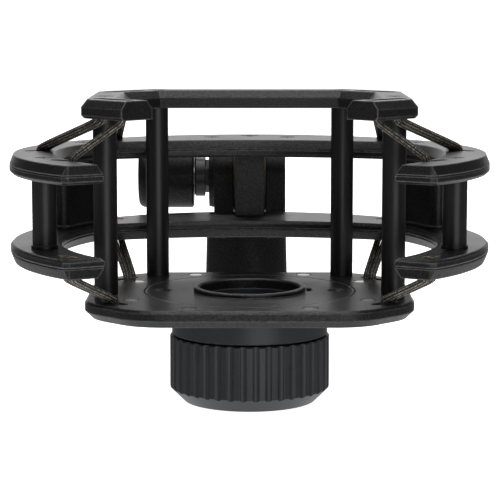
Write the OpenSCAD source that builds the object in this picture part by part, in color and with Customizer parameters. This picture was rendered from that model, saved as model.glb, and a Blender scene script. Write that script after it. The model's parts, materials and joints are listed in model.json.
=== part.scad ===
// Elastic suspension mount for a side-address studio microphone.
// An inner cradle hangs on braided elastic cords inside an outer C-shaped frame,
// and the frame tilts on a clamped stand adapter behind it.
// Origin: axis of the microphone bore at the base plate's top face. +Z up, -Y is the open front.

/* [Cradle] */
// Half the cradle's width
cradle_half_w = 42.2; // [41.8:0.1:43]
// Half the cradle's depth
cradle_half_d = 33.8; // [33:0.1:35]
// Distance from the axis to each of the four diagonal sides
cradle_diagonal = 44.0; // [43.6:0.1:44.6]
// Rounding of the top ring's corners
cradle_corner_r = 5; // [3:0.5:7]
// Rounding of the base plate's corners
plate_corner_r = 16; // [14:0.5:20]
// Thickness of the base plate
plate_t = 4.4; // [4.2:0.1:5]
// Thickness of the cradle's open top ring
top_ring_t = 4.8; // [4.4:0.1:5.2]
// Width of the top ring's band
top_ring_band = 10; // [9.6:0.1:10.6]
// Clear height between the base plate and the top ring
cradle_gap = 46.5; // [46:0.1:49]
// Radius of every cradle post
post_r = 3.1; // [2.8:0.1:3.2]

/* [Microphone bore] */
// Radius of the clear bore for the microphone's base
bore_r = 13.1; // [12.9:0.1:13.3]
// Radius of the thread in the lock ring, as a plain bore
ring_thread_r = 12.8; // [12.5:0.1:12.8]
// Radius of the disc let into the base plate
disc_r = 27.5; // [27:0.1:28]
// Height of the raised collar round the bore
collar_h = 1.2; // [0.8:0.1:1.6]
// Outer radius of the knurled lock ring
lock_ring_r = 21; // [20.8:0.1:21.4]
// Number of flutes round the lock ring
flute_count = 40; // [30:1:44]

/* [Outer frame] */
// Outer radius of the two frame rings
frame_r = 62.5; // [62:0.1:63]
// Thickness of each frame ring
frame_ring_t = 4.8; // [4.6:0.1:5.2]
// Height of the lower ring's underside above the base plate
lower_ring_z = 8.8; // [8:0.1:9.4]
// Height of the upper ring's underside above the base plate
upper_ring_z = 31.7; // [31:0.1:32]
// Half the width of the frame's tongue at the back
tongue_half_w = 4.3; // [4:0.1:4.4]

/* [Stand adapter] */
// Distance of the tilt axis behind the bore's axis
pivot_y = 80; // [79:0.5:81]
// Half the width of the adapter's fork
fork_half_w = 10.65; // [10.4:0.05:10.8]
// Radius of the clamp knob
knob_r = 9.5; // [9:0.1:10]
// Length of the clamp knob
knob_l = 16.6; // [15:0.1:17]
// Height of the adapter's lower end
adapter_foot_z = -17; // [-20:0.5:-15]
// Radius of the large stand thread, as a plain bore
stand_thread_r = 7.94; // [7.9:0.01:7.95]
// Radius of the small stand thread, as a plain bore
reducer_thread_r = 4.76; // [4.7:0.01:4.8]

/* [Elastic cords] */
// Radius of the elastic cord
cord_r = 0.95; // [0.8:0.05:1]

/* [Hidden] */
$fn = 96;

// Small overshoot that keeps cuts clean
eps = 0.05;
// Gap between parts that fit into each other
slip = 0.05;
// Thickness of the thin end layers of a bevelled plate
skin = 0.05;
// Room to spare in a hole that is longer than it has to be
over = 1;
// Half the size of a block that cuts away everything on one side
far = 100;

// Small screws
screw_r = 1.2;
screw_head_r = 2.3;
screw_head_h = 1.4;
screw_l = 9;
screw_sink = 0.1;
screw_seat_h = screw_head_h + screw_sink;
screw_hole_r = screw_r + slip;
screw_seat_r = screw_head_r + 0.1;
screw_depth = 6;

// Cradle
top_ring_z = cradle_gap;
top_z = cradle_gap + top_ring_t;
corner_steps = 8;
corner_min_r = 0.6;
plate_top_bevel = 0.7;
plate_foot_bevel = 1.8;
ring_bevel_run = 1.6;
ring_bevel_h = 2.0;
ring_edge_break = 0.7;
arm_end_offset = -0.2;
sleeve_wall_r = 15.2;
sleeve_foot_z = -17;
disc_t = 1.6;
disc_gap = 0.2;
disc_edge = 0.15;
collar_wall_r = 14.75;
collar_round = 0.3;
neck_r = 20.5;
neck_foot_z = -11.1;
snap_z = -15.9;
snap_h = 0.9;
snap_depth = 0.7;
snap_r = 16.4;
snap_opening = 4;
lock_ring_top_z = -11.4;
lock_ring_foot_z = -28.8;
lock_ring_bevel = 3.6;
lock_ring_bore_r = sleeve_wall_r + 0.1;
lock_ring_step_z = -17.5;
snap_recess_r = 16.8;
snap_recess_gap = 0.3;
flute_r = 1.2;
flute_offset = 0.75;
front_post = [37.3, -5.5];
back_post = [25.5, 28.2];
post_places = [front_post, back_post];
plug_places = [[30.3, -16], [30.3, 16], [15, -28.6], [15, 28.6]];
plug_r = 1.8;
plug_hole_r = 2.1;
plug_depth = 1.2;
plug_sink = 0.05;
disc_screw_x = 23.3;
disc_screw_head_r = 2;
disc_screw_head_h = 1.1;
disc_seat_r = 2.7;
disc_screw_l = 4;
disc_screw_sink = 0.45;
key_slot = [15.6, 1.2];
key_slot_size = [1.4, 6];
key_slot_depth = 1.2;
cord_slot = [34, 20.5];
cord_slot_w = 1.25;
base_slot_half = 3.2;
top_slot_half = 5.4;
knot_seat = 1.9;
knot_slot_w = 1.7;

// Outer frame
frame_centre_y = 2.4;
frame_front_y = -41;
end_corner = [-43.75, -41.2];
end_angle = 28.7;
end_face_l = 30;
ring_side_r = 59.9;
ring_side_centre = [10.7, 2];
ring_back_r = 100;
ring_back_centre_y = -60;
cap_t = 2.5;
parting_gap = 0.3;
parting_depth = 0.5;
cap_bevel_out = 1;
cap_bevel_in = 1.8;
plain_break = 0.7;
end_break = 1.2;
upper_top_z = upper_ring_z + frame_ring_t;
lower_top_z = lower_ring_z + frame_ring_t;
frame_gap = upper_ring_z - lower_top_z;
frame_post = [51.8, -17.5];
wall_inner_r = 53;
wall_outer_r = 58;
wall_start = 157.5;
wall_end = 138;
wall_screw_angle = 146.5;
tie_screw = [10.9, 52.4];
ring_seat_depth = 1;
ring_seat_r = 2.2;
pan_head_r = 2.1;
pan_head_h = 0.8;
ring_screw_l = 12;
tongue_front_y = 53;
tongue_screw_y = 58;
tongue_screw_r = 1.4;
tongue_head_r = 2.5;
tongue_screw_l = 9.5;
foot_h = 0.8;
foot_lip = 0.35;

// Stand adapter
pivot_z = (upper_ring_z + lower_top_z) / 2;
tongue_r = (upper_ring_z - lower_top_z) / 2;
fork_r = 10.6;
fork_gap = 4.85;
fork_floor_z = 11;
barrel_x = -1;
barrel_top_r = 12;
barrel_foot_r = 12.6;
barrel_foot_break = 1;
barrel_top_z = 9;
insert_r = 10;
insert_l = 16;
fork_r_clear = 20;
boss_foot_r = 9.2;
boss_top_r = 9.8;
boss_l = 3;
bolt_r = 2.5;
bolt_hole_r = bolt_r + slip;
bolt_end_x = 28;
bolt_head_r = 4.5;
bolt_head_h = 2.6;
bolt_head_sink = 3;
cheek_face_x = fork_half_w + 1.6;
nut_r = 5;
nut_x = 13.4;
collar_x = 16.6;
collar_r = 6.1;
collar_edge = 0.4;
washer_r = 10.4;
knob_x = 16.9;
knob_round = 2;
knob_steps = 6;
knob_edge = 0.4;
knob_core_r = 3.6;
knob_end_wall = 3;
knob_dish = 0.5;
reducer_slot_w = 1.2;

// Cords: where each one leaves the frame, where it enters the cradle, and how many strands it has.
// Left side; the right side is its mirror image.
long_from = [-54.5, 6];
long_to = [-37.2, -17.3];
short_from = [-43.6, -27.8];
short_to = [-31.6, -22.9];
back_from = [-38.2, 46];
back_to = [-34.6, 19.9];
low_front_from = [-44.2, -33.6];
low_front_to = [-34.6, -19.9];
low_back_from = [-38, 45.5];
low_back_to = [-32.9, 21.6];
strand_gap = 2.1;
cord_sides = 10;
cord_hole_r = 1.15;
knot_r = 1.35;
ferrule_r = 1.55;
ferrule_l = 1.8;
ferrule_sink = 0.1;
// How far each strand goes on behind the face where it leaves the frame, or enters the cradle
frame_in = frame_ring_t - ferrule_sink;
top_in = 3.1;
base_in = 2.9;
// Recesses in the upper ring's top face beside the long and the short cord: place, turn and half length
recess_depth = 1.2;
recess_half_w = 1.3;
long_recess = [[-55.5, 5.2], 36, 2.9];
short_recess = [[-45.7, -26], 139, 2.8];

function unit(v) = v / norm(v);
function side_distance(k, a, b, e) = k % 2 == 1 ? e : (k % 4 == 0 ? a : b);

// Outline of an eight-sided plate with rounded corners, moved in by inset
function octagon(a, b, e, r) = [
    for (k = [0:7])
        let (t1 = 45 * k, t2 = 45 * (k + 1),
             d1 = side_distance(k, a, b, e) - r,
             d2 = side_distance((k + 1) % 8, a, b, e) - r,
             cx = (d1 * sin(t2) - d2 * sin(t1)) / sin(45),
             cy = (d2 * cos(t1) - d1 * cos(t2)) / sin(45))
        for (s = [0:corner_steps])
            let (t = t1 + 45 * s / corner_steps)
            [cx + r * cos(t), cy + r * sin(t)]
];
function cradle_outline(inset, r = cradle_corner_r) = octagon(
    cradle_half_w - inset, cradle_half_d - inset, cradle_diagonal - inset,
    max(r - inset, corner_min_r));

// Round tube along a route that lies in one upright plane, whose level normal is side
function tube_ring(route, i, side, r) =
    let (last = len(route) - 1,
         t = unit(route[min(i + 1, last)] - route[max(i - 1, 0)]),
         v = cross(t, side))
    [for (k = [0:cord_sides - 1])
        route[i] + r * (cos(360 * k / cord_sides) * side + sin(360 * k / cord_sides) * v)];
function tube_points(route, side, r) = [
    for (i = [0:len(route) - 1]) each tube_ring(route, i, side, r)
];
function tube_faces(rings) = concat(
    [[for (k = [0:cord_sides - 1]) k]],
    [for (i = [0:rings - 2], k = [0:cord_sides - 1])
        let (n = (k + 1) % cord_sides)
        [i * cord_sides + k, (i + 1) * cord_sides + k, (i + 1) * cord_sides + n, i * cord_sides + n]],
    [[for (k = [cord_sides - 1:-1:0]) (rings - 1) * cord_sides + k]]
);

module layer(z, inset, h = skin, r = cradle_corner_r) {
    translate([0, 0, z]) linear_extrude(h) polygon(cradle_outline(inset, r));
}
module at_each(points) {
    for (p = points) {
        translate([p.x, p.y, 0]) children();
        translate([-p.x, p.y, 0]) children();
    }
}
module slot(half_l, half_w, h) {
    linear_extrude(h) {
        square([2 * half_l, 2 * half_w], center = true);
        translate([half_l, 0]) circle(half_w);
        translate([-half_l, 0]) circle(half_w);
    }
}
// Countersunk screw with a cross-shaped recess, head upwards at z = 0
module countersunk(head_r, shank_r, l, head_h = screw_head_h) {
    difference() {
        union() {
            translate([0, 0, -head_h]) cylinder(h = head_h, r1 = shank_r, r2 = head_r);
            translate([0, 0, -l]) cylinder(h = l, r = shank_r);
        }
        for (turn = [0, 90]) rotate(turn)
            translate([0, 0, -0.25]) cube([head_r * 1.2, head_r * 0.28, 0.6], center = true);
    }
}
module countersunk_hole(head_r, shank_r, l, head_h = screw_seat_h) {
    translate([0, 0, -head_h]) cylinder(h = head_h, r1 = shank_r, r2 = head_r);
    translate([0, 0, -eps]) cylinder(h = 1, r = head_r);
    translate([0, 0, -l]) cylinder(h = l, r = shank_r);
}

// ---- Cradle ----
module base_plate() {
    color("#1c1d1f") difference() {
        hull() {
            layer(-plate_t, plate_foot_bevel, r = plate_corner_r);
            layer(-plate_t + plate_foot_bevel, 0, plate_t - plate_foot_bevel - plate_top_bevel,
                  plate_corner_r);
            layer(-skin, plate_top_bevel, r = plate_corner_r);
        }
        translate([0, 0, -disc_t]) cylinder(h = disc_t + over, r = disc_r + disc_gap);
        translate([0, 0, -plate_t - over]) cylinder(h = plate_t + 2 * over, r = sleeve_wall_r + slip);
        cradle_cord_slots(0, -1, base_slot_half);
        at_each(post_places) translate([0, 0, -plate_t]) mirror([0, 0, 1])
            countersunk_hole(screw_seat_r, screw_hole_r, plate_t + over);
        at_each(plug_places) translate([0, 0, -plug_depth])
            cylinder(h = plug_depth + over, r = plug_hole_r);
        at_each([[disc_screw_x, 0]]) translate([0, 0, -plate_t - over])
            cylinder(h = plate_t + 2 * over, r = screw_r);
    }
}
// Through slots for the cords, with a wider pocket on the far side for the knots.
// near is the face where the cords enter, and away is +1 or -1, the way they go on.
module cradle_cord_slots(near, away, half_l) {
    for (sx = [-1, 1], sy = [-1, 1])
        translate([sx * cord_slot.x, sy * cord_slot.y, near])
            rotate(sx * sy < 0 ? 45 : -45) {
                translate([0, 0, -far / 2]) slot(half_l, cord_slot_w, far);
                translate([0, 0, away > 0 ? knot_seat : -far - knot_seat])
                    slot(half_l, knot_slot_w, far);
            }
}
module collar_disc() {
    color("#202124") difference() {
        rotate_extrude() polygon([
            [bore_r, -disc_t], [disc_r, -disc_t], [disc_r, -disc_edge], [disc_r - disc_edge, 0],
            [collar_wall_r, 0], [collar_wall_r, collar_h - collar_round],
            [collar_wall_r - collar_round, collar_h], [bore_r + collar_round, collar_h],
            [bore_r, collar_h - collar_round]
        ]);
        at_each([[disc_screw_x, 0]])
            translate([0, 0, -disc_screw_sink])
                countersunk_hole(disc_seat_r, screw_hole_r, disc_t + over, disc_screw_head_h);
        translate([key_slot.x, key_slot.y, -key_slot_depth])
            linear_extrude(key_slot_depth + collar_h + over) square(key_slot_size, center = true);
    }
}
// Flanged sleeve: the flange is the neck under the plate, and the lock ring turns on the sleeve
module neck_ring() {
    color("#26282b") rotate_extrude() polygon([
        [bore_r, sleeve_foot_z], [sleeve_wall_r, sleeve_foot_z],
        [sleeve_wall_r, snap_z], [sleeve_wall_r - snap_depth, snap_z],
        [sleeve_wall_r - snap_depth, snap_z + snap_h], [sleeve_wall_r, snap_z + snap_h],
        [sleeve_wall_r, neck_foot_z], [neck_r - 0.3, neck_foot_z], [neck_r, neck_foot_z + 0.3],
        [neck_r, -plate_t], [sleeve_wall_r, -plate_t], [sleeve_wall_r, -disc_t], [bore_r, -disc_t]
    ]);
}
module disc_screws() {
    color("#3a3a3c") at_each([[disc_screw_x, 0]]) translate([0, 0, -disc_screw_sink])
        countersunk(disc_screw_head_r, screw_r - slip, disc_screw_l, disc_screw_head_h);
}
module plate_plugs() {
    color("#55565a") at_each(plug_places) translate([0, 0, -plug_depth])
        cylinder(h = plug_depth - plug_sink, r = plug_r);
}
module post(place) {
    color("#17181a") translate([place.x, place.y, 0]) difference() {
        cylinder(h = cradle_gap, r = post_r);
        translate([0, 0, -eps]) cylinder(h = screw_depth, r = screw_r);
        translate([0, 0, cradle_gap - screw_depth + eps]) cylinder(h = screw_depth, r = screw_r);
    }
}
module cradle_post_front_left() { post([-front_post.x, front_post.y]); }
module cradle_post_front_right() { post(front_post); }
module cradle_post_back_left() { post([-back_post.x, back_post.y]); }
module cradle_post_back_right() { post(back_post); }
module cradle_top_ring() {
    color("#1b1c1e") difference() {
        hull() {
            layer(top_ring_z, ring_edge_break);
            layer(top_ring_z + ring_edge_break, 0, top_ring_t - ring_edge_break - ring_bevel_h);
            layer(top_z - skin, ring_bevel_run);
        }
        layer(top_ring_z - over, top_ring_band, top_ring_t + 2 * over);
        hull() {
            layer(top_z - ring_bevel_h, top_ring_band);
            layer(top_z, top_ring_band - ring_bevel_run);
        }
        translate([0, -arm_end_offset, top_ring_z - over]) linear_extrude(top_ring_t + 2 * over)
            polygon([[0, 0], [-far, -far], [far, -far]]);
        cradle_cord_slots(top_ring_z, 1, top_slot_half);
        at_each(post_places) translate([0, 0, top_z])
            countersunk_hole(screw_seat_r, screw_hole_r, top_ring_t + over);
    }
}
module cradle_top_screws() {
    color("#2b2b2d") at_each(post_places) translate([0, 0, top_z - screw_sink])
        countersunk(screw_head_r, screw_r, screw_l);
}
module cradle_base_screws() {
    color("#2b2b2d") at_each(post_places)
        translate([0, 0, -plate_t + screw_sink]) mirror([0, 0, 1])
            countersunk(screw_head_r, screw_r, screw_l);
}
module snap_ring() {
    color("#8d8f92") difference() {
        translate([0, 0, snap_z + slip]) cylinder(h = snap_h - 2 * slip, r = snap_r);
        translate([0, 0, snap_z - over]) cylinder(h = 3 * over, r = sleeve_wall_r - snap_depth + slip);
        translate([-snap_opening / 2, 10, snap_z - over]) cube([snap_opening, 10, 3 * over]);
    }
}

// ---- Lock ring ----
module lock_ring() {
    color("#303236") difference() {
        rotate_extrude() polygon([
            [ring_thread_r, lock_ring_foot_z + 0.5], [ring_thread_r + 0.5, lock_ring_foot_z],
            [lock_ring_r - lock_ring_bevel, lock_ring_foot_z],
            [lock_ring_r, lock_ring_foot_z + lock_ring_bevel], [lock_ring_r, lock_ring_top_z - 0.3],
            [lock_ring_r - 0.3, lock_ring_top_z], [lock_ring_bore_r, lock_ring_top_z],
            [lock_ring_bore_r, snap_z + snap_h + snap_recess_gap],
            [snap_recess_r, snap_z + snap_h + snap_recess_gap],
            [snap_recess_r, snap_z - snap_recess_gap], [lock_ring_bore_r, snap_z - snap_recess_gap],
            [lock_ring_bore_r, lock_ring_step_z], [ring_thread_r, lock_ring_step_z]
        ]);
        for (k = [0:flute_count - 1]) rotate(360 * (k + 0.5) / flute_count)
            translate([lock_ring_r + flute_offset, 0, lock_ring_foot_z - over])
                cylinder(h = lock_ring_top_z - lock_ring_foot_z + 2 * over, r = flute_r, $fn = 24);
    }
}

// ---- Outer frame ----
module ring_opening(h, low, high) {
    intersection() {
        translate([ring_side_centre.x, ring_side_centre.y, 0])
            cylinder(h = h, r1 = ring_side_r + low, r2 = ring_side_r + high, $fn = 240);
        translate([-ring_side_centre.x, ring_side_centre.y, 0])
            cylinder(h = h, r1 = ring_side_r + low, r2 = ring_side_r + high, $fn = 240);
        translate([0, ring_back_centre_y, 0])
            cylinder(h = h, r1 = ring_back_r + low, r2 = ring_back_r + high, $fn = 240);
    }
}
// Block in front of the plane y = 0, its face moved back by low at the foot and by high at the top
module end_block(x, l, h, low, high) {
    translate([x, 0, 0]) rotate([90, 0, 90]) linear_extrude(l)
        polygon([[-far, -over], [low, -over], [low, 0], [high, h], [high, h + over], [-far, h + over]]);
}
// C-shaped slice of the frame. Its outer and inner outlines and its end faces are moved in by
// low at the foot and by high at the top, each given as [outer, inner, ends].
module ring_slice(h, low, high) {
    difference() {
        translate([0, frame_centre_y, 0])
            cylinder(h = h, r1 = frame_r - low[0], r2 = frame_r - high[0], $fn = 180);
        translate([0, 0, -eps]) ring_opening(h + 2 * eps, low[1], high[1]);
        translate([0, frame_front_y, 0]) end_block(-far, 2 * far, h, low[2], high[2]);
        for (side = [0, 1]) mirror([side, 0, 0]) translate([end_corner.x, end_corner.y, 0])
            rotate(end_angle) end_block(-end_face_l / 3, end_face_l, h, low[2], high[2]);
    }
}
module through_hole(r) {
    translate([0, 0, -far / 2]) cylinder(h = far, r = r);
}
function wall_screw() = [
    -(wall_inner_r + wall_outer_r) / 2 * cos(wall_screw_angle),
    frame_centre_y + (wall_inner_r + wall_outer_r) / 2 * sin(wall_screw_angle)
];
// Half of a ring on the side away from the bevel, with its groove along the parting line on top
module plain_half() {
    flush = [0, 0, 0];
    groove = parting_depth * [1, 1, 1];
    body_top = frame_ring_t - cap_t - parting_gap;
    difference() {
        union() {
            ring_slice(plain_break, [plain_break, plain_break, end_break], flush);
            translate([0, 0, plain_break]) ring_slice(body_top - plain_break, flush, flush);
            translate([0, 0, body_top - eps]) ring_slice(parting_gap + eps, groove, groove);
        }
        ring_holes();
    }
}
module bevelled_half() {
    difference() {
        translate([0, 0, frame_ring_t - cap_t])
            ring_slice(cap_t, [0, 0, 0], [cap_bevel_out, cap_bevel_in, 0]);
        ring_holes();
        translate([0, 0, frame_ring_t - ring_seat_depth]) {
            at_each([frame_post, wall_screw(), tie_screw])
                cylinder(h = over + ring_seat_depth, r = ring_seat_r);
            translate([0, tongue_screw_y, 0])
                cylinder(h = over + ring_seat_depth, r = tongue_head_r + 0.1);
        }
    }
}
module ring_holes() {
    at_each([frame_post, wall_screw(), tie_screw]) through_hole(screw_hole_r);
    translate([0, tongue_screw_y, 0]) through_hole(tongue_screw_r + 0.1);
}
// One child at every strand's foot in the upper ring, and in the lower ring
module upper_ferrule_places() {
    for (side = [0, 1]) mirror([side, 0, 0]) {
        strand_places(long_from, long_to, 2) children();
        strand_places(short_from, short_to, 1) children();
        strand_places(back_from, back_to, 2) children();
    }
}
module lower_ferrule_places() {
    for (side = [0, 1]) mirror([side, 0, 0]) {
        strand_places(low_front_from, low_front_to, 2) children();
        strand_places(low_back_from, low_back_to, 2) children();
    }
}
module upper_cord_holes() { upper_ferrule_places() through_hole(cord_hole_r); }
module lower_cord_holes() { lower_ferrule_places() through_hole(cord_hole_r); }
// Seat for a ferrule, in the plain half's foot
module ferrule_seat() {
    translate([0, 0, -over]) cylinder(h = ferrule_l + over, r = ferrule_r + slip);
}
module cord_recess(recess) {
    for (side = [0, 1]) mirror([side, 0, 0])
        translate([recess[0].x, recess[0].y, frame_ring_t - recess_depth]) rotate(recess[1])
            slot(recess[2], recess_half_w, recess_depth + over);
}
module upper_ring_cap() {
    color("#1d1e20") translate([0, 0, upper_ring_z]) difference() {
        bevelled_half();
        upper_cord_holes();
        cord_recess(long_recess);
        cord_recess(short_recess);
    }
}
module upper_ring_base() {
    color("#232427") translate([0, 0, upper_ring_z]) difference() {
        plain_half();
        upper_cord_holes();
        upper_ferrule_places() ferrule_seat();
    }
}
module lower_ring_base() {
    color("#232427") translate([0, 0, lower_top_z]) mirror([0, 0, 1]) difference() {
        plain_half();
        lower_cord_holes();
        lower_ferrule_places() ferrule_seat();
    }
}
module lower_ring_cap() {
    color("#1d1e20") translate([0, 0, lower_top_z]) mirror([0, 0, 1]) difference() {
        bevelled_half();
        lower_cord_holes();
    }
}
module frame_post_left() {
    color("#18191b") translate([-frame_post.x, frame_post.y, lower_top_z]) difference() {
        union() {
            cylinder(h = frame_gap, r = post_r);
            cylinder(h = foot_h, r = post_r + foot_lip);
        }
        translate([0, 0, -eps]) cylinder(h = frame_gap + 2 * eps, r = screw_r);
    }
}
module frame_post_right() { mirror([1, 0, 0]) frame_post_left(); }
module wall_outline(grow) {
    wall_mid = (wall_inner_r + wall_outer_r) / 2;
    wall_half = (wall_outer_r - wall_inner_r) / 2 + grow;
    translate([0, frame_centre_y]) {
        intersection() {
            difference() {
                circle(wall_mid + wall_half);
                circle(wall_mid - wall_half);
            }
            polygon([[0, 0], far * [cos(wall_start), sin(wall_start)],
                     far * [cos((wall_start + wall_end) / 2), sin((wall_start + wall_end) / 2)],
                     far * [cos(wall_end), sin(wall_end)]]);
        }
        for (t = [wall_start, wall_end]) rotate(t) translate([wall_mid, 0]) circle(wall_half);
    }
}
module side_wall_left() {
    color("#1a1b1d") difference() {
        union() {
            translate([0, 0, lower_top_z]) linear_extrude(frame_gap) wall_outline(0);
            translate([0, 0, lower_top_z]) linear_extrude(foot_h) wall_outline(foot_lip);
        }
        translate([-wall_screw().x, wall_screw().y, lower_top_z - eps])
            cylinder(h = frame_gap + 2 * eps, r = screw_r);
    }
}
module side_wall_right() { mirror([1, 0, 0]) side_wall_left(); }
// Pan-head screw sunk in its seat, which opens at z = 0
module pan_screw(l) {
    difference() {
        union() {
            translate([0, 0, -screw_sink - pan_head_h]) cylinder(h = pan_head_h, r = pan_head_r);
            translate([0, 0, -l]) cylinder(h = l - pan_head_h, r = screw_r);
        }
        for (turn = [0, 90]) rotate(turn)
            translate([0, 0, -screw_sink])
                cube([pan_head_r * 1.2, pan_head_r * 0.3, 0.8], center = true);
    }
}
module ring_screws() {
    at_each([frame_post, wall_screw()]) pan_screw(ring_screw_l);
    at_each([tie_screw]) pan_screw(frame_ring_t);
}
module upper_ring_screws() {
    color("#2b2b2d") translate([0, 0, upper_top_z]) ring_screws();
}
module lower_ring_screws() {
    color("#2b2b2d") translate([0, 0, lower_ring_z]) mirror([0, 0, 1]) ring_screws();
}
module tongue() {
    color("#2e2f32") difference() {
        union() {
            translate([-tongue_half_w, tongue_front_y, lower_top_z])
                cube([2 * tongue_half_w, pivot_y - tongue_front_y, frame_gap]);
            across_pivot(-tongue_half_w, 2 * tongue_half_w, tongue_r);
        }
        across_pivot(-far / 2, far, bolt_hole_r);
        for (z = [lower_top_z - eps, upper_ring_z + eps - screw_depth])
            translate([0, tongue_screw_y, z]) cylinder(h = screw_depth, r = tongue_screw_r + slip);
    }
}
module tongue_screws() {
    color("#2b2b2d") {
        translate([0, tongue_screw_y, upper_top_z]) tongue_screw();
        translate([0, tongue_screw_y, lower_ring_z]) mirror([0, 0, 1]) tongue_screw();
    }
}
module tongue_screw() {
    difference() {
        union() {
            translate([0, 0, -screw_sink - pan_head_h]) cylinder(h = pan_head_h, r = tongue_head_r);
            translate([0, 0, -tongue_screw_l])
                cylinder(h = tongue_screw_l - pan_head_h, r = tongue_screw_r);
        }
        cylinder(h = 1, r = 1.3, center = true, $fn = 6);
    }
}

// ---- Cords ----
// Strands lie side by side across the line from one end to the other
module strand_places(from, to, count) {
    across = strand_side(from, to);
    for (k = [0:count - 1])
        translate([from.x, from.y, 0] + across * strand_gap * (k - (count - 1) / 2)) children();
}
function strand_side(from, to) = unit([-(to.y - from.y), to.x - from.x, 0]);
// At the cradle the strands lie in line with the slot
function slot_side(to) = unit([to.x < 0 ? 1 : -1, to.y < 0 ? -1 : 1, 0]);
// Route of one strand: up through the frame's hole, across, and into the cradle's slot
function strand_route(a, b, frame_z, cradle_z, cradle_in) =
    let (way = sign(cradle_z - frame_z), flat = b - a)
    [[a.x, a.y, frame_z - way * frame_in], [a.x, a.y, frame_z + way * 0.2],
     [a.x + flat.x * 0.012, a.y + flat.y * 0.012, frame_z + way * 0.9],
     [a.x + flat.x * 0.06, a.y + flat.y * 0.06, frame_z + way * 1.5],
     [b.x - flat.x * 0.06, b.y - flat.y * 0.06, cradle_z - way * 1.5],
     [b.x - flat.x * 0.012, b.y - flat.y * 0.012, cradle_z - way * 0.9],
     [b.x, b.y, cradle_z - way * 0.2], [b.x, b.y, cradle_z + way * cradle_in]];
module cord(from, to, count, frame_z, cradle_z, cradle_in) {
    way = sign(cradle_z - frame_z);
    for (k = [0:count - 1]) {
        step = strand_gap * (k - (count - 1) / 2);
        start = [from.x, from.y, 0] + strand_side(from, to) * step;
        // Strands keep their order along the slot, so that they don't cross
        flip = strand_side(from, to) * slot_side(to) < 0 ? -1 : 1;
        finish = [to.x, to.y, 0] + slot_side(to) * step * flip;
        side = unit([-(finish.y - start.y), finish.x - start.x, 0]);
        route = strand_route(start, finish, frame_z, cradle_z, cradle_in);
        polyhedron(tube_points(route, side, cord_r), tube_faces(len(route)), convexity = 6);
        translate([finish.x, finish.y, cradle_z + way * (cradle_in - 0.1)]) sphere(knot_r, $fn = 16);
    }
}
module upper_cord(from, to, count) {
    color("#2a2927") cord(from, to, count, upper_top_z, top_ring_z, top_in);
}
module lower_cord(from, to, count) {
    color("#2a2927") cord(from, to, count, lower_ring_z, 0, base_in);
}
module upper_cord_left_long() { upper_cord(long_from, long_to, 2); }
module upper_cord_left_short() { upper_cord(short_from, short_to, 1); }
module upper_cord_left_back() { upper_cord(back_from, back_to, 2); }
module lower_cord_left_front() { lower_cord(low_front_from, low_front_to, 2); }
module lower_cord_left_back() { lower_cord(low_back_from, low_back_to, 2); }
module upper_cord_right_long() { mirror([1, 0, 0]) upper_cord_left_long(); }
module upper_cord_right_short() { mirror([1, 0, 0]) upper_cord_left_short(); }
module upper_cord_right_back() { mirror([1, 0, 0]) upper_cord_left_back(); }
module lower_cord_right_front() { mirror([1, 0, 0]) lower_cord_left_front(); }
module lower_cord_right_back() { mirror([1, 0, 0]) lower_cord_left_back(); }
// Crimped sleeves on the strands' ends, sunk in the face of the ring's plain half
module upper_ferrules() {
    color("#a5814a") translate([0, 0, upper_ring_z]) difference() {
        upper_ferrule_places() ferrule();
        upper_ferrule_places() through_hole(cord_r + slip);
    }
}
module lower_ferrules() {
    color("#a5814a") translate([0, 0, lower_top_z]) mirror([0, 0, 1]) difference() {
        lower_ferrule_places() ferrule();
        lower_ferrule_places() through_hole(cord_r + slip);
    }
}
module ferrule() {
    translate([0, 0, ferrule_sink]) cylinder(h = ferrule_l - ferrule_sink, r = ferrule_r);
}

// ---- Stand adapter ----
// Round or prismatic piece along the tilt axis, from x towards +X
module across_pivot(x, l, r, r2 = 0, sides = $fn) {
    translate([x, pivot_y, pivot_z]) rotate([0, 90, 0])
        cylinder(h = l, r1 = r, r2 = r2 > 0 ? r2 : r, $fn = sides);
}
module adapter_body() {
    color("#1e1f21") difference() {
        union() {
            across_pivot(-fork_half_w, 2 * fork_half_w, fork_r);
            translate([-fork_half_w, pivot_y - fork_r, barrel_top_z - 4])
                cube([2 * fork_half_w, 2 * fork_r, pivot_z - barrel_top_z + 4]);
            translate([barrel_x, pivot_y, adapter_foot_z]) rotate_extrude() polygon([
                [0, 0], [barrel_foot_r - barrel_foot_break, 0], [barrel_foot_r, barrel_foot_break],
                [barrel_top_r, barrel_top_z - adapter_foot_z], [0, barrel_top_z - adapter_foot_z]
            ]);
            across_pivot(-cheek_face_x, boss_l, boss_foot_r, boss_top_r);
        }
        translate([-fork_gap, pivot_y - fork_r_clear, fork_floor_z])
            cube([2 * fork_gap, 2 * fork_r_clear, 2 * fork_r_clear]);
        across_pivot(-far / 2, far, bolt_hole_r);
        across_pivot(fork_half_w - bolt_head_sink, bolt_head_sink + over, bolt_head_r + 0.1);
        translate([barrel_x, pivot_y, adapter_foot_z - over])
            cylinder(h = insert_l + over, r = insert_r);
    }
}
module thread_insert() {
    color("#9a9c9f") translate([barrel_x, pivot_y, adapter_foot_z]) difference() {
        cylinder(h = insert_l, r = insert_r);
        through_hole(stand_thread_r);
    }
}
module thread_reducer() {
    color("#c9a45c") translate([barrel_x, pivot_y, adapter_foot_z]) difference() {
        cylinder(h = insert_l - 1, r = stand_thread_r - slip / 2);
        through_hole(reducer_thread_r);
        cube([far, reducer_slot_w, 2], center = true);
    }
}
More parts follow.
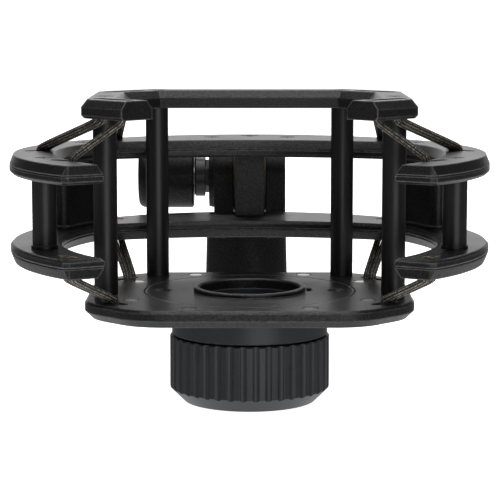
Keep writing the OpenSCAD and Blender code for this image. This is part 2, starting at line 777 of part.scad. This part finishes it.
module pivot_bolt() {
    color("#b6b8bb") difference() {
        union() {
            across_pivot(-bolt_end_x, bolt_end_x + fork_half_w - bolt_head_sink, bolt_r);
            across_pivot(fork_half_w - bolt_head_sink, bolt_head_h, bolt_head_r);
        }
        // Hexagon socket in the head
        across_pivot(fork_half_w - bolt_head_sink + 1, bolt_head_h, 2, sides = 6);
    }
}
module pivot_nut() {
    color("#2b2b2d") difference() {
        across_pivot(-nut_x, nut_x - cheek_face_x, nut_r, sides = 6);
        across_pivot(-far / 2, far, bolt_hole_r);
    }
}
module friction_washers() {
    color("#5b4a3a") for (x = [-fork_gap + slip, tongue_half_w + slip]) difference() {
        across_pivot(x, fork_gap - tongue_half_w - 2 * slip, washer_r);
        across_pivot(-far / 2, far, bolt_hole_r);
    }
}
module clamp_collar() {
    color("#2b2b2d") difference() {
        union() {
            across_pivot(-collar_x, collar_edge, collar_r - collar_edge, collar_r);
            across_pivot(-collar_x + collar_edge, collar_x - nut_x - collar_edge - slip, collar_r);
        }
        across_pivot(-far / 2, far, bolt_hole_r);
    }
}
module clamp_knob() {
    color("#242528") translate([-knob_x, pivot_y, pivot_z]) rotate([0, -90, 0]) rotate_extrude()
        polygon(concat(
            [[knob_core_r, 0], [knob_r - knob_edge, 0], [knob_r, knob_edge]],
            [for (s = [0:knob_steps]) let (t = 90 * s / knob_steps)
                [knob_r - knob_round + knob_round * cos(t), knob_l - knob_round + knob_round * sin(t)]],
            [[knob_core_r + 0.4, knob_l], [knob_core_r, knob_l - knob_dish], [0, knob_l - knob_dish],
             [0, knob_l - knob_end_wall], [knob_core_r, knob_l - knob_end_wall]]
        ));
}
module knob_core() {
    color("#c9a45c") difference() {
        across_pivot(-knob_x - knob_l + knob_end_wall, knob_l - knob_end_wall, knob_core_r);
        across_pivot(-far / 2, far, bolt_hole_r);
    }
}

base_plate();
collar_disc();
neck_ring();
disc_screws();
plate_plugs();
cradle_post_front_left();
cradle_post_front_right();
cradle_post_back_left();
cradle_post_back_right();
cradle_top_ring();
cradle_top_screws();
cradle_base_screws();
snap_ring();
lock_ring();
upper_ring_cap();
upper_ring_base();
lower_ring_cap();
lower_ring_base();
frame_post_left();
frame_post_right();
side_wall_left();
side_wall_right();
upper_ring_screws();
lower_ring_screws();
tongue();
tongue_screws();
upper_ferrules();
lower_ferrules();
upper_cord_left_long();
upper_cord_right_long();
upper_cord_left_short();
upper_cord_right_short();
upper_cord_left_back();
upper_cord_right_back();
lower_cord_left_front();
lower_cord_right_front();
lower_cord_left_back();
lower_cord_right_back();
adapter_body();
thread_insert();
thread_reducer();
pivot_bolt();
pivot_nut();
friction_washers();
clamp_collar();
clamp_knob();
knob_core();
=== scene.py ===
"""Looks of an elastic microphone mount: finishes, braided cords, light and camera."""

import json
import math

import bpy
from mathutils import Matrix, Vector


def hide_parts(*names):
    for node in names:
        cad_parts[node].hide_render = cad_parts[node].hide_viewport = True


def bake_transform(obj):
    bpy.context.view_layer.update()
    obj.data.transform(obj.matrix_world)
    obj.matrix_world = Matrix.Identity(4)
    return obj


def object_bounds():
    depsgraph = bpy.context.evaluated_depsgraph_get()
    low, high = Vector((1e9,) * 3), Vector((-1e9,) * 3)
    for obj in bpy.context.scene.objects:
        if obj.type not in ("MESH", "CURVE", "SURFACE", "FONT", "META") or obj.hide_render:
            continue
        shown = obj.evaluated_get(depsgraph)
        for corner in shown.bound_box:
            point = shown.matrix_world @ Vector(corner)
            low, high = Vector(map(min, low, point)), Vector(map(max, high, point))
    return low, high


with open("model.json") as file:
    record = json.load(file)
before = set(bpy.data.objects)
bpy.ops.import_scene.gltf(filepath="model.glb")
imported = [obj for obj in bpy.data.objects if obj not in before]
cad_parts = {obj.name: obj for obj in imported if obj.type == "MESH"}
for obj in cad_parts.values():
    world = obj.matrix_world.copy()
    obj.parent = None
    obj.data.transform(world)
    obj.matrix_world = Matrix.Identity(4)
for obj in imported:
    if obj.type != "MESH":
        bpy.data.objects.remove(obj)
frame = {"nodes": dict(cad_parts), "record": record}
cad_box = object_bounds()

MM = 0.001

# ---- Cord routes: the points of part.scad, in millimetres, for the left side ----
CORD_R = 0.95
STRAND_GAP = 2.1
CORD_END = 0.1
UPPER_RING_TOP = 36.5
UPPER_RING_FOOT = 31.7
LOWER_RING_TOP = 13.6
LOWER_RING_FOOT = 8.8
TOP_RING_FOOT = 46.5
TOP_RING_REACH = 3.0
PLATE_TOP = 0.0
PLATE_REACH = 2.8
KNOT_CORD_R = 0.5
KNOT_SIZE = 1.0
KNOT_STEPS = 96
UPPER_CORDS = {
    "long": ((-54.5, 6.0), (-37.2, -17.3), 2),
    "short": ((-43.6, -27.8), (-31.6, -22.9), 1),
    "back": ((-38.2, 46.0), (-34.6, 19.9), 2),
}
LOWER_CORDS = {
    "front": ((-44.2, -33.6), (-34.6, -19.9), 2),
    "back": ((-38.0, 45.5), (-32.9, 21.6), 2),
}
YARNS = 16
YARN_PITCH = 0.36
YARN_RELIEF = 0.07
RIBS = 8
STITCH = 0.42
SIDES = 48
RING_STEP = 0.18


# ---- Materials ----
class Graph:
    """One material's node tree. Each call adds a node and gives its first output."""

    def __init__(self, name, base, roughness, **constants):
        self.material = bpy.data.materials.new(name)
        self.material.use_nodes = True
        self.tree = self.material.node_tree
        self.shader = self.tree.nodes["Principled BSDF"]
        self.feed("Base Color", base)
        self.feed("Roughness", roughness)
        for socket, value in constants.items():
            self.feed(socket.replace("_", " "), value)

    def feed(self, socket, value):
        self.connect(self.shader.inputs[socket], value)

    def connect(self, socket, value):
        if isinstance(value, bpy.types.NodeSocket):
            self.tree.links.new(value, socket)
        elif socket.type == "RGBA" and len(value) == 3:
            socket.default_value = (*value, 1.0)
        else:
            socket.default_value = value

    def node(self, kind, inputs, **settings):
        made = self.tree.nodes.new("ShaderNode" + kind)
        for name, value in settings.items():
            setattr(made, name, value)
        for socket, value in inputs.items():
            self.connect(made.inputs[socket], value)
        return made

    def place(self, output="Object"):
        return self.node("TexCoord", {}).outputs[output]

    def stretched(self, scale, output="Object"):
        return self.node("Mapping", {"Vector": self.place(output), "Scale": scale}).outputs[0]

    def noise(self, scale, detail=2.0, roughness=0.5, vector=None):
        inputs = {"Vector": vector or self.place(), "Scale": scale, "Detail": detail, "Roughness": roughness}
        return self.node("TexNoise", inputs).outputs[0]

    def cells(self, scale, vector=None, **settings):
        inputs = {"Vector": vector or self.place(), "Scale": scale}
        return self.node("TexVoronoi", inputs, **settings).outputs[0]

    def math(self, operation, a, b=0.0, c=0.0):
        made = self.tree.nodes.new("ShaderNodeMath")
        made.operation = operation
        for socket, value in zip(made.inputs, (a, b, c)):
            self.connect(socket, value)
        return made.outputs[0]

    def spread(self, value, low, high, to_low, to_high):
        inputs = {"Value": value, "From Min": low, "From Max": high, "To Min": to_low, "To Max": to_high}
        return self.node("MapRange", inputs).outputs[0]

    def blend(self, share, first, second):
        made = self.node("Mix", {}, data_type="RGBA")
        self.connect(made.inputs[0], share)
        self.connect(made.inputs[6], first)
        self.connect(made.inputs[7], second)
        return made.outputs[2]

    def edges(self, radius):
        """Gives the normal with its edges rounded off, and a mask that is 1 on those edges."""
        rounded = self.node("Bevel", {"Radius": radius}, samples=6).outputs[0]
        flat = self.node("NewGeometry", {}).outputs["True Normal"]
        same = self.node("VectorMath", {0: rounded, 1: flat}, operation="DOT_PRODUCT").outputs["Value"]
        return rounded, self.spread(same, 0.995, 0.86, 0.0, 1.0)

    def bump(self, height, distance, strength=1.0, normal=None):
        inputs = {"Height": height, "Distance": distance, "Strength": strength}
        if normal is not None:
            inputs["Normal"] = normal
        return self.node("Bump", inputs).outputs[0]


def moulded(name, base, edge_colour, roughness, grain_size, relief, shine=0.3):
    """Moulded plastic: spark-eroded grain, faint mottling, and edges that handling has polished, their
    colour lifted as a painted highlight.
    """
    g = Graph(name, base, roughness)
    grain = g.cells(1 / grain_size, feature="SMOOTH_F1")
    fine = g.noise(1.2 / grain_size, 3.0)
    mottle = g.noise(70.0, 4.0, 0.6)
    normal, edge = g.edges(0.6 * MM)
    height = g.math("MULTIPLY_ADD", fine, 0.55, grain)
    # Painted highlight: this edge mask, broken up by noise, lifts the base colour towards the edge colour;
    # it also lowers the roughness where handling polished the edges.
    edge_patches = g.math("MULTIPLY", edge, g.spread(g.noise(900.0, 3.0), 0.35, 0.65, 0.35, 1.0))
    darker = tuple(0.72 * c for c in base)
    g.feed("Base Color", g.blend(edge_patches, g.blend(g.spread(mottle, 0.3, 0.7, 0.0, 1.0), darker, base), edge_colour))
    rough = g.math("MULTIPLY_ADD", mottle, 0.14, roughness - 0.07)
    rough = g.math("MULTIPLY_ADD", fine, 0.16, g.math("SUBTRACT", rough, 0.08))
    g.feed("Roughness", g.math("SUBTRACT", rough, g.math("MULTIPLY", edge_patches, 0.1)))
    speckle = g.noise(0.9 / grain_size, 1.0)
    g.feed("Specular IOR Level", g.spread(speckle, 0.36, 0.64, shine * 0.7, shine * 1.5))
    g.feed("Normal", g.bump(height, relief, 1.0, normal))
    return g.material


def coated_metal(name, base, edge_colour, roughness, metallic=0.0, stretch=(1.0, 1.0, 0.06)):
    """Satin coat over turned metal: very fine drawn lines, thin rubbed patches on the edges, specks of dust.
    """
    g = Graph(name, base, roughness, Metallic=metallic, Specular_IOR_Level=0.5)
    lines = g.noise(5200.0, 2.0, 0.5, g.stretched(stretch))
    specks = g.spread(g.cells(900.0), 0.0, 0.09, 1.0, 0.0)
    cloud = g.noise(110.0, 3.0, 0.6)
    normal, edge = g.edges(0.2 * MM)
    edge_patches = g.math("MULTIPLY", edge, g.spread(g.noise(1400.0, 2.0), 0.4, 0.6, 0.2, 1.0))
    coat = g.blend(g.spread(cloud, 0.3, 0.7, 0.0, 1.0), tuple(0.75 * c for c in base), base)
    dusty = g.blend(g.math("MULTIPLY", specks, 0.35), coat, (0.22, 0.21, 0.2))
    g.feed("Base Color", g.blend(edge_patches, dusty, edge_colour))
    clouded = g.math("MULTIPLY_ADD", cloud, 0.1, roughness - 0.13)
    g.feed("Roughness", g.math("MULTIPLY_ADD", lines, 0.16, clouded))
    g.feed("Normal", g.bump(lines, 0.006 * MM, 0.7, normal))
    return g.material


def bare_metal(name, base, tarnish, roughness, stretch):
    """Turned metal: bright tool lines, darker tarnish in clouds."""
    g = Graph(name, base, roughness, Metallic=1.0)
    lines = g.noise(6000.0, 2.0, 0.5, g.stretched(stretch))
    cloud = g.noise(380.0, 4.0, 0.65)
    normal, edge = g.edges(0.12 * MM)
    g.feed("Base Color", g.blend(g.spread(cloud, 0.42, 0.7, 0.0, 0.8), base, tarnish))
    clouded = g.math("MULTIPLY_ADD", cloud, 0.2, roughness - 0.2)
    g.feed("Roughness", g.math("MULTIPLY_ADD", lines, 0.2, clouded))
    g.feed("Normal", g.bump(lines, 0.01 * MM, 0.8, normal))
    return g.material


def gloss_plug(name, base, roughness):
    """Polished plastic plug with hairline scratches."""
    g = Graph(name, base, roughness, Specular_IOR_Level=0.6, Coat_Weight=0.6, Coat_Roughness=0.08)
    scratches = g.noise(4200.0, 2.0, 0.5, g.stretched((0.1, 1.0, 1.0)))
    cloud = g.noise(400.0, 2.0)
    normal, edge = g.edges(0.1 * MM)
    g.feed("Base Color", g.blend(g.spread(cloud, 0.3, 0.7, 0.0, 1.0), base, tuple(1.5 * c for c in base)))
    g.feed("Roughness", g.math("MULTIPLY_ADD", scratches, 0.12, roughness - 0.04))
    g.feed("Normal", g.bump(scratches, 0.003 * MM, 0.5, normal))
    return g.material


def pressed_fibre(name, base):
    """Pressed fibre washer: matted threads."""
    g = Graph(name, base, 0.85)
    threads = g.noise(2600.0, 5.0, 0.7, g.stretched((1.0, 0.3, 1.0)))
    g.feed("Base Color", g.blend(threads, tuple(0.5 * c for c in base), tuple(1.6 * c for c in base)))
    g.feed("Normal", g.bump(threads, 0.04 * MM, 0.8))
    return g.material


def braid(name, dark, mid, fleck_and_highlight):
    """Braid on the cord's own yarn coordinates: ribs with slanted stitches whose crowns are lightened
    towards a fleck colour, partly the yarn's own beige fleck and partly a painted highlight, with painted
    shade darkening the grooves between the ribs.
    """
    g = Graph(name, dark, 0.7, Specular_IOR_Level=0.25)
    split = g.node("SeparateXYZ", {0: g.place("UV")})
    a, b = split.outputs[0], split.outputs[1]
    rib = g.math("MULTIPLY", g.math("ADD", a, b), 0.5 * RIBS / YARNS)
    along = g.math("MULTIPLY", g.math("SUBTRACT", a, b), 0.5 * YARN_PITCH / STITCH)
    off = g.math("ABSOLUTE", g.math("MULTIPLY_ADD", g.math("FRACT", rib), 2.0, -1.0))
    slant = g.math("MULTIPLY_ADD", off, 0.8, along)
    stitch = g.math("ABSOLUTE", g.math("MULTIPLY_ADD", g.math("FRACT", slant), 2.0, -1.0))
    here = g.node("CombineXYZ", {0: g.math("FLOOR", rib), 1: g.math("FLOOR", slant)})
    own = g.node("TexWhiteNoise", {"Vector": here.outputs[0]}, noise_dimensions="2D").outputs[0]
    # Painted highlight: the stitch crowns are lightened towards the fleck colour, varied stitch by stitch;
    # part of this is the yarn's own fleck.
    crown = g.math("MULTIPLY", g.spread(off, 0.85, 0.3, 0.0, 1.0), g.spread(stitch, 0.75, 0.3, 0.0, 1.0))
    stitch_flecks_and_highlight = g.blend(g.math("MULTIPLY", crown, g.math("MULTIPLY_ADD", own, 0.8, 0.2)), dark, fleck_and_highlight)
    # Painted shade: the colour falls to the dark colour along the grooves between the ribs.
    g.feed("Base Color", g.blend(g.spread(off, 0.95, 0.6, 0.0, 1.0), dark, g.blend(0.85, mid, stitch_flecks_and_highlight)))
    g.feed("Roughness", g.math("MULTIPLY_ADD", own, 0.2, 0.6))
    g.feed("Normal", g.bump(crown, 0.06 * MM, 0.9))
    return g.material


# In the moulded finishes the second colour is a painted highlight on the edges; in the coated metals it is
# the colour of edge wear.
FINISHES = {
    "moulded_black": moulded(
        "moulded_black", (0.008, 0.008, 0.0085), (0.14, 0.14, 0.14), 0.32, 0.34 * MM, 0.035 * MM),
    "moulded_charcoal": moulded(
        "moulded_charcoal", (0.024, 0.024, 0.026), (0.05, 0.05, 0.052), 0.45, 0.4 * MM, 0.05 * MM),
    "adapter_black": moulded(
        "adapter_black", (0.005, 0.005, 0.0055), (0.02, 0.02, 0.02), 0.4, 0.4 * MM, 0.03 * MM, 0.15),
    "post_black": coated_metal("post_black", (0.007, 0.007, 0.0075), (0.03, 0.03, 0.03), 0.36),
    "ring_charcoal": coated_metal(
        "ring_charcoal", (0.015, 0.0162, 0.019), (0.06, 0.06, 0.064), 0.38, stretch=(0.5, 0.5, 1.0)),
    "screw_black": coated_metal(
        "screw_black", (0.03, 0.03, 0.032), (0.2, 0.2, 0.2), 0.38, 0.6, (1.0, 1.0, 1.0)),
    "plug_gloss": gloss_plug("plug_gloss", (0.06, 0.06, 0.064), 0.2),
    "brass_fitting": bare_metal(
        "brass_fitting", (0.62, 0.42, 0.17), (0.26, 0.16, 0.07), 0.34, (1.0, 1.0, 0.2)),
    "steel_fitting": bare_metal("steel_fitting", (0.5, 0.5, 0.5), (0.26, 0.26, 0.27), 0.3, (0.05, 1.0, 1.0)),
    "fibre_washer": pressed_fibre("fibre_washer", (0.11, 0.075, 0.045)),
    # cord_black: the dark colour also serves as painted shade in the rib grooves; the last colour is the
    # yarn fleck, partly a painted highlight on the stitch crowns.
    "cord_black": braid(
        "cord_black", (0.004, 0.0039, 0.0037), (0.014, 0.0135, 0.0125), (0.5, 0.46, 0.38)),
}


def finish_cad_nodes():
    for part in frame["record"]["subparts"]:
        node = frame["nodes"][part["node"]]
        node.data.materials.clear()
        node.data.materials.append(FINISHES[part["material_slot"]])


# ---- Braided cords ----
def strand_side(start, end):
    return Vector((start.y - end.y, end.x - start.x, 0.0)).normalized()


def slot_side(end):
    return Vector((1.0 if end.x < 0 else -1.0, -1.0 if end.y < 0 else 1.0, 0.0)).normalized()


def strand_ends(start, end, count):
    """Where each strand of a cord leaves the frame and enters the cradle, on the left side."""
    a, b = Vector((*start, 0.0)), Vector((*end, 0.0))
    side = strand_side(a, b)
    into = slot_side(b)
    if side.dot(into) < 0:
        into = -into
    steps = [STRAND_GAP * (k - (count - 1) / 2) for k in range(count)]
    return [(a + side * step, b + into * step) for step in steps]


def strand_route(a, b, frame_z, frame_end, cradle_z, cradle_end):
    """Corner points of one strand: up its hole in the frame, across, and into the cradle's slot."""
    way = math.copysign(1.0, cradle_z - frame_z)
    flat = b - a

    def at(share, z):
        return Vector((a.x + flat.x * share, a.y + flat.y * share, z))

    return [
        at(0, frame_end), at(0, frame_z - way * 0.4), at(0.012, frame_z + way * 0.5),
        at(0.06, frame_z + way * 1.3), at(0.94, cradle_z - way * 1.3),
        at(0.988, cradle_z - way * 0.5), at(1, cradle_z + way * 0.4), at(1, cradle_end),
    ]


def rounded_off(points, passes=3):
    """Cuts the corners off a line of points, keeping its two ends."""
    for _ in range(passes):
        cut = [points[0]]
        for p, q in zip(points, points[1:]):
            cut += [p.lerp(q, 0.25), p.lerp(q, 0.75)]
        points = cut + [points[-1]]
    return points


def spaced(points, step):
    """The same line with its points an equal step apart."""
    lengths = [0.0]
    for p, q in zip(points, points[1:]):
        lengths.append(lengths[-1] + (q - p).length)
    count = max(2, round(lengths[-1] / step))
    out, at = [], 0
    for i in range(count + 1):
        want = lengths[-1] * i / count
        while at < len(points) - 2 and lengths[at + 1] < want:
            at += 1
        span = max(lengths[at + 1] - lengths[at], 1e-9)
        out.append(points[at].lerp(points[at + 1], min(1.0, (want - lengths[at]) / span)))
    return out, lengths[-1] / count


def braid_height(a, b):
    """How far the top yarn stands out, from 0 to 1, at yarn coordinates a and b."""
    top_is_a = (math.floor(a) + math.floor(b)) % 4 < 2
    off = 2 * ((b if top_is_a else a) % 1.0) - 1
    return 1 - off * off


def add_braided_tube(mesh, points, radius, step):
    """Appends a closed tube along points (mm), its wall raised yarn by yarn, to mesh's lists."""
    vertices, faces, coords = mesh
    first = len(vertices)
    tangent = (points[1] - points[0]).normalized()
    across = tangent.orthogonal().normalized()
    for i, p in enumerate(points):
        ahead = (points[min(i + 1, len(points) - 1)] - points[max(i - 1, 0)]).normalized()
        across = (across - ahead * across.dot(ahead)).normalized()
        up = ahead.cross(across)
        for k in range(SIDES):
            turn = k / SIDES
            a = YARNS * turn + i * step / YARN_PITCH
            b = YARNS * turn - i * step / YARN_PITCH
            r = radius - YARN_RELIEF + YARN_RELIEF * braid_height(a, b)
            angle = math.tau * turn
            vertices.append((p + r * (math.cos(angle) * across + math.sin(angle) * up)) * MM)
    for i in range(len(points) - 1):
        for k in range(SIDES):
            low, high = first + i * SIDES, first + (i + 1) * SIDES
            n = (k + 1) % SIDES
            faces.append((low + k, low + n, high + n, high + k))
            corners = ((k, i), (k + 1, i), (k + 1, i + 1), (k, i + 1))
            for turn, along in corners:
                lay = along * step / YARN_PITCH
                coords.append((YARNS * turn / SIDES + lay, YARNS * turn / SIDES - lay))
    last = first + (len(points) - 1) * SIDES
    for loop in (range(first + SIDES - 1, first - 1, -1), range(last, last + SIDES)):
        faces.append(tuple(loop))
        coords.extend((YARNS * k / SIDES, 0.25 * k / SIDES) for k in range(SIDES))


def knot_points(centre, size):
    """A small overhand knot: a trefoil squeezed into a ball."""
    points = []
    for i in range(KNOT_STEPS + 1):
        t = math.tau * i / KNOT_STEPS
        points.append(centre + size * Vector((
            0.33 * (math.sin(t) + 2 * math.sin(2 * t)), 0.33 * (math.cos(t) - 2 * math.cos(2 * t)),
            -0.55 * math.sin(3 * t))))
    return points


def make_cord(name, ends, frame_z, frame_end, cradle_z, cradle_end):
    """One cord of a pair or single strand as a mesh that stretches between the frame and the cradle."""
    mesh = ([], [], [])
    for a, b in ends:
        route = strand_route(a, b, frame_z, frame_end, cradle_z, cradle_end)
        points, step = spaced(rounded_off(route), RING_STEP)
        add_braided_tube(mesh, points, CORD_R, step)
        centre = Vector((b.x, b.y, cradle_end))
        knot, knot_step = spaced(knot_points(centre, KNOT_SIZE), RING_STEP)
        add_braided_tube(mesh, knot, KNOT_CORD_R, knot_step)
    vertices, faces, coords = mesh
    data = bpy.data.meshes.new("braid_" + name)
    data.from_pydata(vertices, [], faces)
    yarn_map = data.uv_layers.new(name="yarns")
    for loop, coord in zip(yarn_map.data, coords):
        loop.uv = coord
    data.shade_smooth()
    data.materials.append(FINISHES["cord_black"])
    cord = bpy.data.objects.new("braid_" + name, data)
    bpy.context.scene.collection.objects.link(cord)
    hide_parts(name)
    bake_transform(cord)


def mirrored(ends):
    flip = Vector((-1.0, 1.0, 1.0))
    return [(a * flip, b * flip) for a, b in ends]


def make_cords():
    """Every cord, left and right. Heights: frame's face, frame's end, cradle's face, cradle's end."""
    upper = (UPPER_RING_TOP, UPPER_RING_FOOT + CORD_END, TOP_RING_FOOT, TOP_RING_FOOT + TOP_RING_REACH)
    lower = (LOWER_RING_FOOT, LOWER_RING_TOP - CORD_END, PLATE_TOP, PLATE_TOP - PLATE_REACH)
    for level, cords, heights in (("upper", UPPER_CORDS, upper), ("lower", LOWER_CORDS, lower)):
        for place, (start, end, count) in cords.items():
            left = strand_ends(start, end, count)
            make_cord(f"{level}_cord_left_{place}", left, *heights)
            make_cord(f"{level}_cord_right_{place}", mirrored(left), *heights)


# ---- Studio ----
def studio_floor():
    g = Graph(
        "studio_floor", (0.8, 0.8, 0.8), 0.9, Emission_Color=(1.0, 1.0, 1.0), Emission_Strength=1.0)
    shade = g.noise(3.0, 2.0)
    g.feed("Base Color", g.blend(shade, (0.78, 0.78, 0.78), (0.82, 0.82, 0.82)))
    half = 4.0
    z = cad_box[0].z - 0.0002
    data = bpy.data.meshes.new("studio_floor")
    corners = [(-half, -half, z), (half, -half, z), (half, half, z), (-half, half, z)]
    data.from_pydata(corners, [], [(0, 1, 2, 3)])
    data.materials.append(g.material)
    floor = bpy.data.objects.new("studio_floor", data)
    bpy.context.scene.collection.objects.link(floor)
    floor.visible_glossy = False
    floor.visible_shadow = False


def studio_world():
    """White behind and below the object, dim in front of it and above."""
    world = bpy.data.worlds.new("studio")
    bpy.context.scene.world = world
    world.use_nodes = True
    tree = world.node_tree
    place = tree.nodes.new("ShaderNodeTexCoord")
    split = tree.nodes.new("ShaderNodeSeparateXYZ")
    tree.links.new(place.outputs["Generated"], split.inputs[0])
    behind = world_share(tree, split.outputs[1], 0.88, 0.97, 0.06, 1.05)
    below = world_share(tree, split.outputs[2], -0.12, -0.5, 0.0, 0.9)
    brighter = tree.nodes.new("ShaderNodeMath")
    brighter.operation = "MAXIMUM"
    tree.links.new(behind, brighter.inputs[0])
    tree.links.new(below, brighter.inputs[1])
    tree.links.new(brighter.outputs[0], tree.nodes["Background"].inputs["Strength"])
    tree.nodes["Background"].inputs["Color"].default_value = (1.0, 1.0, 1.0, 1.0)


def world_share(tree, value, low, high, to_low, to_high):
    scale = tree.nodes.new("ShaderNodeMapRange")
    tree.links.new(value, scale.inputs["Value"])
    for socket, number in (("From Min", low), ("From Max", high), ("To Min", to_low), ("To Max", to_high)):
        scale.inputs[socket].default_value = number
    return scale.outputs[0]


def softbox(name, place, size, watts):
    light = bpy.data.lights.new(name, "AREA")
    light.shape = "RECTANGLE"
    light.size = size[0]
    light.size_y = size[1]
    light.energy = watts
    lamp = bpy.data.objects.new(name, light)
    lamp.location = place
    aim = Vector((0.0, 0.02, 0.015)) - Vector(place)
    lamp.rotation_euler = aim.to_track_quat("-Z", "Y").to_euler()
    bpy.context.scene.collection.objects.link(lamp)


def studio_lights():
    softbox("softbox_top", (0.0, 0.05, 1.0), (1.2, 0.5), 8.0)
    softbox("softbox_back", (0.0, 0.95, 0.8), (1.4, 0.3), 7.5)
    softbox("softbox_edge", (0.1, -0.5, 1.1), (0.5, 0.3), 1.6)
    softbox("softbox_front", (0.35, -1.2, 0.1), (0.9, 1.0), 3.8)
    softbox("softbox_left", (-1.1, -0.2, 0.5), (0.5, 0.9), 0.6)


def studio_camera():
    camera = bpy.data.objects.new("camera", bpy.data.cameras.new("camera"))
    camera.location = (0.0001, -0.4885, 0.0765)
    camera.rotation_euler = (math.radians(82.33), 0.0, 0.0)
    camera.data.lens = 135.2
    camera.data.sensor_width = 36.0
    camera.data.clip_start = 0.01
    bpy.context.scene.collection.objects.link(camera)
    bpy.context.scene.camera = camera
    bpy.context.scene.view_settings.view_transform = "Standard"


finish_cad_nodes()
make_cords()
studio_floor()
studio_world()
studio_lights()
studio_camera()
